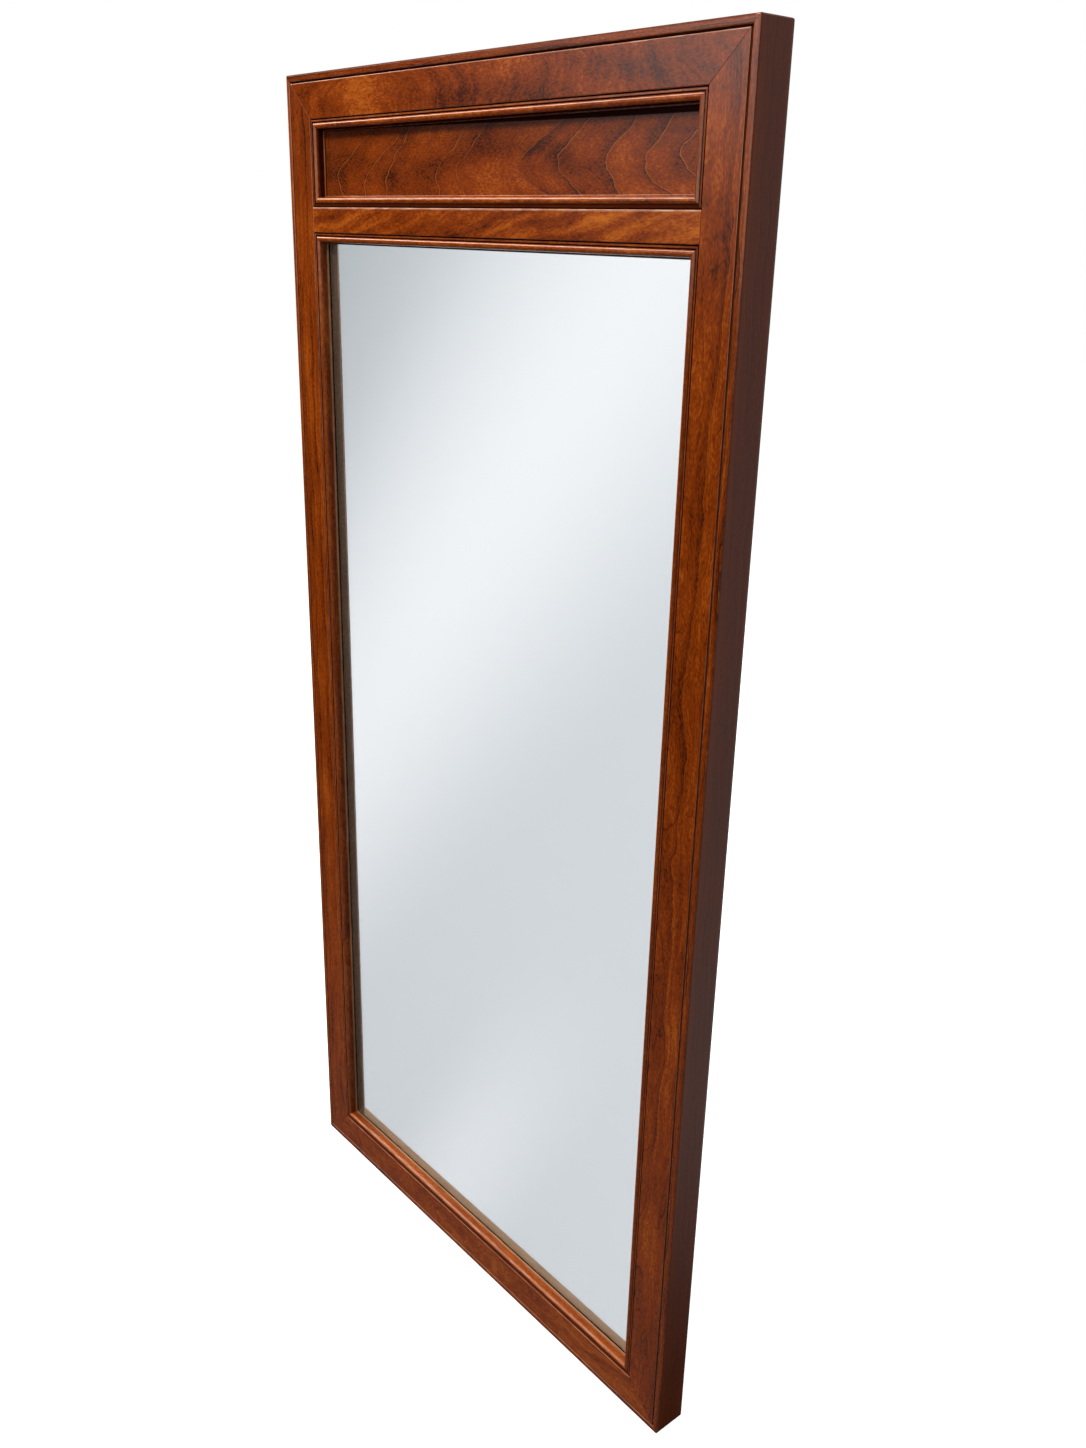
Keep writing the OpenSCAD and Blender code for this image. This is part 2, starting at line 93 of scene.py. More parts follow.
# %% A socket that can be added and multiplied
class Signal:
    """The output of a node, with arithmetic that adds nodes."""

    def __init__(self, bench, socket):
        self.bench = bench
        self.socket = socket

    def combine(self, operation, *terms):
        """A Math node, or a Vector Math node where a term is a colour."""
        kind = "ShaderNodeVectorMath" if any(is_colour(term) for term in terms) else "ShaderNodeMath"
        return self.bench.node(kind, {"operation": operation}, dict(enumerate(terms)))

    def __add__(self, other):
        return self.combine("ADD", self, other)

    def __radd__(self, other):
        return self.combine("ADD", other, self)

    def __sub__(self, other):
        return self.combine("SUBTRACT", self, other)

    def __rsub__(self, other):
        return self.combine("SUBTRACT", other, self)

    def __mul__(self, other):
        return self.combine("MULTIPLY", self, other)

    def __rmul__(self, other):
        return self.combine("MULTIPLY", other, self)

    def __truediv__(self, other):
        return self.combine("DIVIDE", self, other)

    def __rtruediv__(self, other):
        return self.combine("DIVIDE", other, self)

    def __pow__(self, other):
        return self.combine("POWER", self, other)

    def __abs__(self):
        return self.combine("ABSOLUTE", self)

    def part_turn(self):
        return self.combine("FRACT", self)

    def wave(self):
        return self.combine("SINE", self)

    def at_least(self, other):
        return self.combine("MAXIMUM", self, other)

    def at_most(self, other):
        return self.combine("MINIMUM", self, other)


def is_colour(term):
    """Whether a term of a sum is a colour or a vector, and not one number."""
    return isinstance(term, tuple) or (isinstance(term, Signal) and term.socket.type != "VALUE")


print("sums become nodes")

# %% [markdown]
# A Bench is where one finish is built. Its node method is the only one that adds a node: it
# takes the type, then the settings, which can change the sockets, then values or Signals
# for the sockets. The other methods are short names for the few nodes that wood needs again
# and again.

# %% The bench that holds a node tree
class Bench:
    """A node tree, and the ways to add to it."""

    def __init__(self, tree):
        self.tree = tree
        self.tree.nodes.clear()

    def node(self, kind, settings=None, values=None, out=0):
        """A new node with its settings and its sockets' values, and the Signal that comes out of it."""
        new = self.tree.nodes.new(kind)
        settings = dict(settings or {})
        for number, (stop, colour) in enumerate(settings.pop("stops", ())):
            ramp = new.color_ramp.elements
            mark = ramp[number] if number < 2 else ramp.new(stop)
            mark.position, mark.color = stop, (*colour, 1.0)
        for key, value in settings.items():
            setattr(new, key, value)
        for key, value in (values or {}).items():
            socket = new.inputs[key]
            if isinstance(value, Signal):
                self.tree.links.new(value.socket, socket)
            elif socket.type == "RGBA":
                socket.default_value = (*value, 1.0)
            elif socket.type == "VECTOR" and not isinstance(value, tuple):
                socket.default_value = (value, value, value)
            else:
                socket.default_value = value
        return Signal(self, new.outputs[out]) if new.outputs else None

    def parts(self, vector):
        """X, Y and Z of a vector."""
        return [self.node("ShaderNodeSeparateXYZ", values={0: vector}, out=axis) for axis in range(3)]

    def place(self):
        """X, Y and Z on the piece, in metres."""
        return self.parts(self.node("ShaderNodeTexCoord", out="Object"))

    def facing(self):
        """X, Y and Z of the surface's direction."""
        return self.parts(self.node("ShaderNodeNewGeometry", out="Normal"))

    def point(self, x, y, z):
        return self.node("ShaderNodeCombineXYZ", values={0: x, 1: y, 2: z})

    def noise(self, x, y, z, detail=2.0, roughness=0.5, twist=0.0):
        """Soft random values round 0.5, one bump for each unit of x, y and z."""
        return self.node("ShaderNodeTexNoise", values={
            "Vector": self.point(x, y, z), "Scale": 1.0, "Detail": detail, "Roughness": roughness,
            "Distortion": twist})

    def rise(self, value, low, high):
        """0 at low, 1 at high, a smooth step between. low may be the larger one."""
        return self.node("ShaderNodeMapRange", {"interpolation_type": "SMOOTHSTEP"}, {
            "Value": value, "From Min": low, "From Max": high})

    def band(self, value, centre, reach):
        """1 at centre and 0 from reach away."""
        return 1.0 - self.rise(abs(value - centre), 0.0, reach)

    def blend(self, first, second, share):
        """A colour between two."""
        return self.node("ShaderNodeMix", {"data_type": "RGBA"}, {0: share, 6: first, 7: second}, out=2)

    def scale(self, value, *colours):
        """The colour at value on an even scale from the first colour, at 0, to the last, at 1."""
        stops = [(number / (len(colours) - 1), colour) for number, colour in enumerate(colours)]
        return self.node("ShaderNodeValToRGB", {"stops": stops}, {0: value})

    def bump(self, height, depth, strength=1.0):
        return self.node("ShaderNodeBump", values={
            "Height": height, "Distance": depth, "Strength": strength})


print("bench ready")

# %% [markdown]
# Every finish ends in one Principled shader. What changes over a surface goes only to its
# colour, roughness, metal and normal. All else is one number for the whole surface. Where
# shade is painted into the colour, with some dirt, the shine is taken away too, so a finish
# can end in two shaders, the second without a reflection, and a Mix Shader between them.

# %% Make a finish
PAINTED = ("Base Color", "Roughness", "Normal", "Metallic")
MATT_ROUGHNESS = 0.9


def finish(name, paint, **sockets):
    """A material. paint is given a Bench, and returns values for PAINTED and, last, the share of painted
    shade and dirt.
    """
    material = bpy.data.materials.new(name)
    material.use_nodes = True
    bench = Bench(material.node_tree)
    painted = paint(bench)
    shader = bench.node("ShaderNodeBsdfPrincipled", values={**dict(zip(PAINTED, painted)), **sockets})
    if len(painted) > len(PAINTED):
        matt = bench.node("ShaderNodeBsdfPrincipled", values={
            "Base Color": painted[0], "Roughness": MATT_ROUGHNESS, "Normal": painted[2],
            "Specular IOR Level": 0.0})
        shader = bench.node("ShaderNodeMixShader", values={0: painted[-1], 1: shader, 2: matt})
    bench.node("ShaderNodeOutputMaterial", values={"Surface": shader})
    return material


def dress(node, material):
    """The piece's surface takes the material in each of its slots, or in a new one if it has none."""
    piece = nodes[node]
    if not piece.material_slots:
        piece.data.materials.append(material)
    for place in piece.material_slots:
        place.material = material


print("ready to dress", len(nodes), "pieces")

# %% [markdown]
# Cherry shows the tree it was sawn from. The year rings are tubes round the pith, and a board
# is a flat cut through them. If the pith leans towards the board's face, the tubes end in the
# pointed arches that are called cathedrals. So the rings are computed in space, as a distance
# to a leaning line, and each board gets a line of its own. Two sizes of noise make them waver.

# %% Year rings
RING_LINE = 0.06


def grain_axes(bench, along):
    """Distances along, across and into a board whose grain runs along x or z."""
    x, y, z = bench.place()
    return (z, x, y) if along == "z" else (x, z, y)


def waver(bench, length, across, depth, seed, slow, fine):
    """How far the growth of the tree moves the figure from its ideal line."""
    wide = bench.noise(length * 9.0 + seed, across * 26.0, depth * 26.0) - 0.5
    narrow = bench.noise(length * 42.0, across * 95.0 + seed, depth * 95.0, detail=1.0) - 0.5
    return wide * slow + narrow * fine


def tree_rings(pith, lean, pitch, pale, slow=18 * MM, fine=3 * MM, fade=0.42, soft=False):
    """A figure of year rings round a leaning pith: dark fades, thin pale lines and the radius."""
    def figure(bench, length, across, depth, seed):
        aside = across - pith[0] + length * lean[0]
        inward = depth - pith[1] + length * lean[1]
        radius = (aside * aside + inward * inward) ** 0.5
        radius = radius + waver(bench, length, across, depth, seed, slow, fine)
        part = (radius / pitch).part_turn()
        shade = bench.band(part, 0.6, 0.5) if soft else part ** 3.5
        return shade * fade, (1.0 - bench.rise(part, 0.0, RING_LINE)) * pale, radius
    return figure


print("rings ready")

# %% [markdown]
# The stain soaks unevenly into cherry. It leaves soft clouds a hand wide, small curls where
# the fibres tip up and take more of it, and specks in the pores. Some places of the real
# boards are lighter or darker than chance would have them, so a board can be told of patches:
# the place along and across, the reach, and what it adds to the tone.

# %% Tone of the stain
PALE = (0.50, 0.126, 0.0100)
WARM = (0.228, 0.0375, 0.0022)
DARK = (0.040, 0.0060, 0.0010)
LINE = (0.66, 0.240, 0.0500)
# Pale of wear and of painted highlight, laid on arrises and rounds.
WORN_AND_HIGHLIGHT = (0.56, 0.290, 0.1800)
# Painted shade, with some dirt: the near black laid on gaps, grooves and hollows.
SHADE_AND_GRIME = (0.040, 0.0060, 0.0022)
# Pale of dust in a mitre, and of painted light on the groove's walls.
DUST_AND_LIGHT = (0.52, 0.24, 0.11)
RAW_WOOD = ((0.26, 0.158, 0.078), (0.39, 0.255, 0.135), (0.53, 0.36, 0.20))
PATCH_STRETCH = 0.35
PATCH_RAGGED = 0.25


def patched(bench, light, length, across, cloud, patches):
    """The tone with its patches, which are longer along the grain and ragged at their edges."""
    for along_at, across_at, reach, gain in patches:
        away = ((length - along_at) ** 2.0 * PATCH_STRETCH + (across - across_at) ** 2.0) ** 0.5
        light = light + bench.band(away + cloud * (PATCH_RAGGED * reach), 0.0, reach) * gain
    return light


def edge_wear_and_highlight(bench, length, across, depth, seed, wear_and_highlight, rubbed_and_highlight):
    """How pale the eased arrises are painted, which face none of the main directions: wear of the stain, and
    painted highlight.
    """
    nx, ny, nz = bench.facing()
    turned = 1.0 - abs(nx).at_least(abs(ny)).at_least(abs(nz))
    edge = bench.rise(turned, 0.02, 0.20) * wear_and_highlight
    if rubbed_and_highlight is not None:
        edge = edge.at_least(rubbed_and_highlight(bench))
    rub = bench.noise(length * 40.0, across * 90.0 + seed, depth * 90.0, detail=4.0)
    return edge * (0.45 + bench.rise(rub, 0.44, 0.62) * 0.55)


print("stain from", DARK, "to", PALE)

# %% [markdown]
# The whole finish is the tone of the wood under the stain, then what is laid over it: paler
# arrises, partly wear and partly painted highlight; dark corners and hollows, painted shade
# with some dirt; painted light on a few walls; pale dust in one mitre; and raw faces that were
# never stained. A semi-gloss lacquer over all of it gives a low, slightly uneven shine, which
# is why the same noises also move the roughness and the bump.

# %% Stained and lacquered cherry
def cherry(bench, figure, shade_and_grime, along="x", seed=0.0, tone=0.0, clouds=1.0, curls=1.0, curl_length=55.0,
           veined=1.0, streaks=1.0, patches=(), side_tone_and_light=None, wear_and_highlight=0.6, rubbed_and_highlight=None, dust_and_light=None, raw=None,
           shine=0.18, skin_depth=1.0):
    """Colour, roughness, bump, metal, and the share of painted shade and dirt, of a cherry board."""
    length, across, depth = grain_axes(bench, along)
    fade, line, flow = figure(bench, length, across, depth, seed)

    # Each place is in metres, so the number beside it is how many bumps there are in a metre.
    cloud = bench.noise(length * 9.0 + seed, across * 26.0, depth * 26.0 + seed, detail=3.0) - 0.5
    curl = bench.noise(length * curl_length + seed, across * 95.0, depth * 95.0, detail=3.0, twist=1.6) - 0.5
    fibre = bench.noise(length * 70.0, flow * 1300.0 + seed, depth * 90.0) - 0.5
    streak = bench.noise(length * 10.0 + seed, flow * 300.0, depth * 30.0) - 0.5
    vein = bench.noise(length * 9.0, flow * 85.0 + seed, depth * 20.0)
    veins = bench.band(vein, 0.47, 0.014) + bench.band(vein, 0.56, 0.012) * 0.6
    speck = bench.noise(length * 260.0, across * 620.0, depth * 620.0 + seed, detail=3.0) - 0.5
    strong = bench.rise(bench.noise(length * 6.0, across * 14.0 + seed, depth * 14.0), 0.35, 0.60)

    light = 0.5 + tone + cloud * (0.9 * clouds) + curl * (0.55 * curls) + speck * 0.85
    light = light + (streak + fibre) * (0.55 * streaks)
    light = light - fade * (0.45 + strong * 0.75) - veins * (veined * 0.16)
    light = patched(bench, light, length, across, cloud, patches)
    if side_tone_and_light is not None:
        aside = bench.rise(abs(bench.facing()[1]), 0.75, 0.25)
        light = light * (1.0 - aside * 0.75) + aside * side_tone_and_light(bench)
    colour = bench.scale(light, DARK, WARM, PALE)
    colour = bench.blend(colour, LINE, line * (0.12 + strong * 0.40))

    # Painted highlight, partly wear: arrises and rounds are painted paler.
    colour = bench.blend(colour, WORN_AND_HIGHLIGHT, edge_wear_and_highlight(bench, length, across, depth, seed, wear_and_highlight, rubbed_and_highlight))
    if dust_and_light is not None:
        colour = bench.blend(colour, DUST_AND_LIGHT, dust_and_light(bench))
    # Painted shade, with some dirt: gaps, grooves and hollows are painted dark here and lose their shine.
    shade_and_soil = shade_and_grime(bench)
    colour = bench.blend(colour, SHADE_AND_GRIME, shade_and_soil)
    if raw is not None:
        bare = bench.scale(0.5 + cloud * 0.8 + streak * 0.6 + fibre * 0.5, *RAW_WOOD)
        colour = bench.blend(colour, bare, raw(bench))

    rough = shine + cloud * 0.10 + curl * 0.06 + fade * 0.06 + shade_and_soil * 0.12
    skin = bench.noise(length * 260.0, across * 420.0, depth * 420.0, detail=1.0)
    height = fibre * 0.35 + skin * 0.5 - fade * 0.5
    return colour, rough, bench.bump(height, 0.05 * MM, skin_depth), 0.0, shade_and_soil


print("cherry ready")

# %% [markdown]
# The groove between nose and face, and the fine gap and quirk beside each moulding, are
# painted nearly black: painted shade, with some dirt where no cloth has reached. Where they
# lie is known from the section, so it is told in millimetres: in from the outline, and back
# from the front.

# %% Dark groove
GROOVE_WIDTH = 1.8
GROOVE_END = (OUTSIDE - FACE_EDGE) / MM
GROOVE_START = GROOVE_END - GROOVE_WIDTH


def section(bench):
    """Millimetres in from the nearest side of the outline, and back from the front."""
    x, y, z = bench.place()
    inset = (OUTSIDE - abs(x)).at_most(TOP / 2 - abs(z - TOP / 2))
    return inset / MM, (y - FRONT) / MM


def groove_shade_and_grime(bench):
    """Painted shade with some dirt: full on the groove's floor, thinner up its walls beside the stiles, none
    on the faces.
    """
    inset, depth = section(bench)
    after_nose = bench.rise(inset, GROOVE_START - 0.1, GROOVE_START + 0.5)
    before_face = bench.rise(inset, GROOVE_END + 0.3, GROOVE_END - 0.1)
    deep = bench.rise(depth, 2.2, 3.0)
    lip = bench.band(depth, 0.9, 0.6) * 0.7
    on_rails = bench.rise(abs(bench.place()[0]), OUTSIDE - 12 * MM, OUTSIDE - 14 * MM)
    return after_nose * before_face * deep.at_least(lip).at_least(on_rails) * 0.95


print(f"groove from {GROOVE_START:.1f} to {GROOVE_END:.1f} mm in")

# %% [markdown]
# The face boards meet in mitres. Three of these show as a dark hairline. The one at the top
# left has opened a little and caught pale dust. The outer walls of the stiles in the groove
# get painted light, and the rails' upper arrises a painted highlight, partly where a duster
# has taken the stain off.

# %% Painted shade and light, dirt, dust and wear of the face
STILE_INNER = OUTSIDE - OPENING_X
RAIL_INNER = GLASS_LOW


def mitre_line(bench):
    """How far off the mitre a point of a face board lies, in mm. Large away from the corners."""
    x, y, z = bench.place()
    groove = GROOVE_END * MM
    across = (OUTSIDE - abs(x) - groove) / (STILE_INNER - groove)
    up = (TOP / 2 - abs(z - TOP / 2) - groove) / (RAIL_INNER - groove)
    return (abs(across - up) * (0.7 * RAIL_INNER) + bench.rise(up, 1.0, 1.1)) / MM


def face_shade_and_grime(bench):
    """Painted shade in the groove and on the boards' edges beside the inner mouldings, and the dark hairline
    of the mitres.
    """
    inset, depth = section(bench)
    # Painted shade on the boards' edges beside the inner mouldings, so the gap reads dark.
    edge = bench.rise(inset, GROOVE_END + 1.0, GROOVE_END + 2.0) * bench.rise(depth, 0.7, 1.5) * 0.95
    hairline = bench.rise(mitre_line(bench), 0.6, 0.15) * 0.5
    return groove_shade_and_grime(bench).at_least(edge).at_least(hairline)


def face_light_and_dust(bench):
    """Painted light half way down the outer walls of the stiles, and a pale line of dirt in the mitre at the
    top left.
    """
    x, y, z = bench.place()
    inset, depth = section(bench)
    # Painted light: the stiles' outer walls in the groove are painted paler.
    wall = bench.rise(inset, GROOVE_END + 0.2, GROOVE_END) * bench.band(depth, 1.9, 1.0)
    top_left = bench.rise(x, 0.0, -0.1) * bench.rise(z, TOP / 2, TOP / 2 + 0.1)
    open_mitre = bench.rise(mitre_line(bench), 0.55, 0.15) * top_left
    return (wall * 0.9).at_least(open_mitre * 0.6)


def rub_and_highlight_to(height, reach):
    """A painted highlight, partly wear of lacquer and stain, along a rail's upper arris at this height, for
    reach millimetres.
    """
    def rubbed_and_highlight(bench):
        x, y, z = bench.place()
        ragged = bench.noise(x * 60.0, 0.0, 0.0, detail=3.0) * 1.4 - 0.7
        below = (height - z) / MM - ragged
        # Painted highlight along the arris, partly wear.
        return bench.rise(below, reach, reach - 1.0) * bench.rise(section(bench)[1], 1.2, 0.6) * 0.95
    return rubbed_and_highlight


print(f"mitres from {GROOVE_END:.1f} to {STILE_INNER / MM:.1f} mm in")

# %% [markdown]
# Each face board has its own tree. The stiles were sawn along the rings, so their lines run
# nearly straight. The rails were sawn across them and show blots and arcs. The seeds make the
# noise differ from board to board, and the patches are where the real boards have theirs.

# %% Face boards
# Under the top rail's face the pith comes up, and meets it at this place along.
EYE_AT = -0.185
EYE_LEAN = 0.45
FACE_BOARDS = {
    "left_stile": dict(
        along="z", seed=3.1, tone=0.01, clouds=0.8, curls=0.4, curl_length=16.0, veined=1.3,
        patches=((1.40, -0.326, 0.070, -0.21), (0.06, -0.326, 0.080, -0.07)),
        figure=tree_rings(pith=(-0.372, 0.020), lean=(0.010, 0.008), pitch=19 * MM,
                          slow=22 * MM, fade=0.28, pale=0.15)),
    "right_stile": dict(
        along="z", seed=7.7, tone=0.0, clouds=0.8, curls=0.4, curl_length=16.0, veined=1.3,
        patches=((1.28, 0.326, 0.070, -0.18), (1.42, 0.326, 0.050, -0.10), (0.17, 0.326, 0.150, -0.08)),
        figure=tree_rings(pith=(0.295, 0.020), lean=(-0.010, 0.008), pitch=22 * MM,
                          slow=24 * MM, fade=0.25, pale=0.1)),
    "top_rail": dict(
        along="x", seed=12.4, tone=-0.01, clouds=1.3, curls=0.45, veined=0.6, streaks=0.8,
        rubbed_and_highlight=rub_and_highlight_to(TOP - GROOVE_END * MM, 1.3),
        patches=((-0.185, 1.402, 0.030, 0.18), (-0.14, 1.435, 0.045, -0.15), (0.02, 1.430, 0.075, -0.25),
                 (0.14, 1.430, 0.055, -0.12), (0.28, 1.445, 0.070, -0.16)),
        figure=tree_rings(pith=(1.405, FRONT + EYE_AT * EYE_LEAN), lean=(0.0, EYE_LEAN), pitch=17 * MM,
                          slow=34 * MM, fine=5 * MM, fade=0.09, pale=0.03, soft=True)),
    "middle_rail": dict(
        along="x", seed=19.6, tone=0.11, clouds=1.3, curls=0.6, veined=0.9, streaks=0.8,
        rubbed_and_highlight=rub_and_highlight_to(PANEL_LOW, 2.2),
        patches=((0.22, 1.300, 0.070, 0.20), (-0.01, 1.300, 0.050, -0.17), (-0.27, 1.300, 0.040, -0.06)),
        figure=tree_rings(pith=(1.155, 0.0), lean=(-0.24, 0.0), pitch=19 * MM,
                          slow=30 * MM, fine=5 * MM, fade=0.25, pale=0.08, soft=True)),
    "bottom_rail": dict(
        along="x", seed=26.2, tone=0.05, clouds=0.8, curls=0.4, curl_length=25.0, veined=0.8,
        patches=((0.22, 0.028, 0.090, 0.08),),
        figure=tree_rings(pith=(0.010, 0.06), lean=(0.015, 0.040), pitch=20 * MM,
                          slow=24 * MM, fade=0.15, pale=0.1)),
}
for board, cut in FACE_BOARDS.items():
    stained = finish(board, lambda bench: cherry(bench, shade_and_grime=face_shade_and_grime, dust_and_light=face_light_and_dust, **cut))
    dress(board, stained)
print(len(FACE_BOARDS), "face boards")

# %% [markdown]
# The panel's veneer is the show piece. It was peeled nearly flat through the rings, and its
# arches stand one behind another, points to the left. They are drawn one by one, by where the
# point of each lies. Each has a thin pale line, with a darker fade on one side of it, and noise
# gives the line its scallops. Between them run finer rings.

# %% Veneer's figure
# Each arch: its point's place along and up, the slopes of its upper and lower arm, and how
# dark its fade is to the left and to the right.
ARCHES = (
    (-0.265, 1.350, 1.6, 0.6, 0.00, 0.10),
    (-0.219, 1.339, 1.6, 0.5, 0.08, 0.12),
    (-0.175, 1.342, 1.1, 0.6, 0.10, 0.14),
    (-0.082, 1.350, 1.4, 0.4, 0.08, 0.10),
    (-0.048, 1.353, 1.5, 1.0, 0.08, 0.12),
    (0.052, 1.350, 2.0, 2.8, 0.00, 0.36),
    (0.115, 1.361, 1.6, 1.0, 0.16, 0.05),
    (0.177, 1.358, 1.4, 0.8, 0.26, 0.05),
    (0.231, 1.347, 0.9, 2.0, 0.22, 0.05),
    (0.275, 1.362, 1.4, 1.0, 0.14, 0.05),
)
POINT_ROUND = 8 * MM
LINE_WIDTH = 0.9 * MM
LINE_SHADE = 2.0 * MM
FADE_REACH = 30 * MM
FINE_HEIGHT = 1.35
FINE_SLOPE = 1.3
FINE_PITCH = 6.5 * MM


def veneer_arches(bench, length, across, depth, seed):
    """The dark fades and thin pale lines of the panel's arches, and the way its fibres flow."""
    shift = waver(bench, length, across, depth, seed, 36 * MM, 9 * MM)
    fades = lines = 0.0
    for along, height, upper, lower, left, right in ARCHES:
        rise = across - height
        reach = (rise * rise + POINT_ROUND ** 2) ** 0.5 - POINT_ROUND
        beyond = length + shift - along - reach * (upper + lower) / 2 - rise * (upper - lower) / 2
        before = bench.rise(beyond, -FADE_REACH, 0.0) * bench.rise(beyond, 0.5 * MM, -0.5 * MM)
        after = bench.rise(beyond, FADE_REACH, 0.0) * bench.rise(beyond, -0.5 * MM, 0.5 * MM)
        fades = fades + before * left + after * right
        lines = lines + bench.band(beyond, 0.0, LINE_WIDTH)
        fades = fades + bench.band(beyond, -LINE_SHADE, LINE_SHADE) * 0.12
    flow = length + shift - abs(across - FINE_HEIGHT) * FINE_SLOPE
    rings = (flow / FINE_PITCH).part_turn()
    return fades + (rings ** 3.0) * 0.07, lines.at_most(1.0) * 0.75, flow


print(len(ARCHES), "arches in the panel")

# %% [markdown]
# The panel lies in the shade of the moulding above it, and that shadow is painted: a black
# strip under the moulding, and a thin brown veil of painted half shadow below the strip. Both
# are stronger towards the panel's right end.

# %% Veneer panel
BEAD_WIDTH = 12.0
SHADOW_STRIP = (0.5, 5.0)
SHADOW_VEIL = (24.0, 3.0)


def panel_painted_shadow(bench):
    """Painted shadow under the upper moulding, thinner towards the panel's left end."""
    x, y, z = bench.place()
    # Painted shadow: a dark strip under the moulding, and a half shadow below it.
    under = (PANEL_HIGH - z) / MM - BEAD_WIDTH
    reach = SHADOW_STRIP[0] + bench.rise(x, -0.30, 0.30) * SHADOW_STRIP[1]
    half_shadow = bench.rise(under, *SHADOW_VEIL) * bench.rise(x, -0.25, 0.25) * 0.30
    return (bench.rise(under, reach + 0.5, reach - 0.5) * 0.96).at_least(half_shadow)


veneer = finish("veneer_panel", lambda bench: cherry(
    bench, veneer_arches, panel_painted_shadow, seed=41.3, tone=-0.05, clouds=1.2, curls=0.45, veined=0.4, streaks=0.5,
    patches=((-0.30, 1.360, 0.070, -0.28), (-0.15, 1.340, 0.060, -0.18), (0.20, 1.335, 0.030, 0.08),
             (0.27, 1.360, 0.050, -0.12))))
dress("veneer_panel", veneer)
# The reach of the painted shadow strip under the moulding.
print(f"grime under the panel's moulding, {SHADOW_STRIP[0]} to {sum(SHADOW_STRIP)} mm")

# %% [markdown]
# The small mouldings are turned to the light all along their round, so they need little
# figure. What tells their section apart is where they are painted dark and where painted
# pale: the gap behind them, the quirk and the foot get painted shade like the groove, and the
# fillet, a line of the round and the edge of the lip get painted highlights, partly wear.

# %% Section of the inner mouldings
OPENINGS = {"panel": (PANEL_LOW, PANEL_HIGH), "mirror": (GLASS_LOW, GLASS_HIGH)}


def bead_section(bench, low, high):
    """Millimetres in from the edge of the opening between two heights, and back from the front."""
    x, y, z = bench.place()
    inset = (OPENING_X - abs(x)).at_most((high - low) / 2 - abs(z - (low + high) / 2))
    return inset / MM, (y - FRONT) / MM


def bead_painted_shade(low, high, wall, fillet):
    """Painted shade: dark in the gap, the quirk and at the foot, and as told on the wall below the round and
    the fillet.
    """
    def shade_and_grime(bench):
        inset, depth = bead_section(bench, low, high)
        # Painted shade in the gap, the quirk, the fillet, the wall and at the foot.
        gap = bench.rise(inset, 1.6, 1.2) * bench.rise(depth, 0.3, 1.4)
        quirk = bench.rise(inset, 2.7, 3.1) * bench.rise(inset, 4.6, 4.0) * 0.9
        flat = bench.rise(inset, 3.4, 3.0) * fillet
        well = bench.rise(inset, 9.9, 10.3) * bench.rise(depth, 3.2, 5.5) * bench.rise(depth, 10.0, 9.4)
        foot = bench.rise(depth, 11.1, 11.5)
        return (gap + quirk + flat + well * wall + foot).at_most(0.95)
    return shade_and_grime


def bead_rub_and_highlight(low, high, crest, strength, fillet):
    """Painted highlights, partly wear of the stain, along the fillet, along a line of the round, and at the
    edge of the lip.
    """
    def rubbed_and_highlight(bench):
        inset, depth = bead_section(bench, low, high)
        flat = bench.band(inset, 2.0, 0.7) * bench.rise(depth, 1.4, 0.9) * fillet
        # Painted highlight along the crest of the round.
        crest_highlight = bench.band(inset, crest, 0.75) * bench.rise(depth, 2.4, 1.6) * strength
        lip = bench.rise(inset, 11.2, 11.9) * bench.rise(depth, 11.2, 10.8) * 0.5
        return flat.at_least(lip).at_least(crest_highlight)
    return rubbed_and_highlight


def raw_lip(low, high):
    """The foot of the mouldings round the plate, which little of the stain has reached."""
    def raw(bench):
        inset, depth = bead_section(bench, low, high)
        return bench.rise(inset, 10.0, 10.6) * bench.rise(depth, 8.5, 10.0) * 0.35
    return raw


print("openings", {name: [round(h, 3) for h in heights] for name, heights in OPENINGS.items()})

# %% [markdown]
# All eight mouldings have the same section, but each has its own painted highlights and
# shade. Those along the top and the foot of an opening get the strongest painted highlight
# lines, and the one under the plate is paler all over, partly wear and partly painted light
# for facing up. So each has its own row in a table.

# %% Inner mouldings
UPRIGHT = ("left", "right")
SURROUND = (*UPRIGHT, "top", "bottom")
# Each moulding: tone, wear and painted highlight on its round, place in mm and strength of
# the painted highlight line along the round, how dark the fillet is painted as shade, and how
# strong the painted highlight on the fillet is.
BEADS = {
    "panel_bead_left": (0.02, 0.12, 5.5, 0.20, 0.3, 0.20),
    "panel_bead_right": (0.02, 0.10, 5.5, 0.05, 0.3, 0.15),
    "panel_bead_top": (0.02, 0.12, 5.4, 0.75, 0.1, 0.45),
    "panel_bead_bottom": (0.06, 0.12, 8.8, 1.00, 0.9, 0.00),
    "mirror_bead_left": (0.04, 0.12, 5.5, 0.25, 0.1, 0.60),
    "mirror_bead_right": (0.02, 0.10, 5.5, 0.05, 0.3, 0.15),
    "mirror_bead_top": (0.04, 0.12, 5.4, 0.85, 0.3, 0.20),
    "mirror_bead_bottom": (0.13, 0.60, 5.3, 1.00, 0.5, 0.15),
}

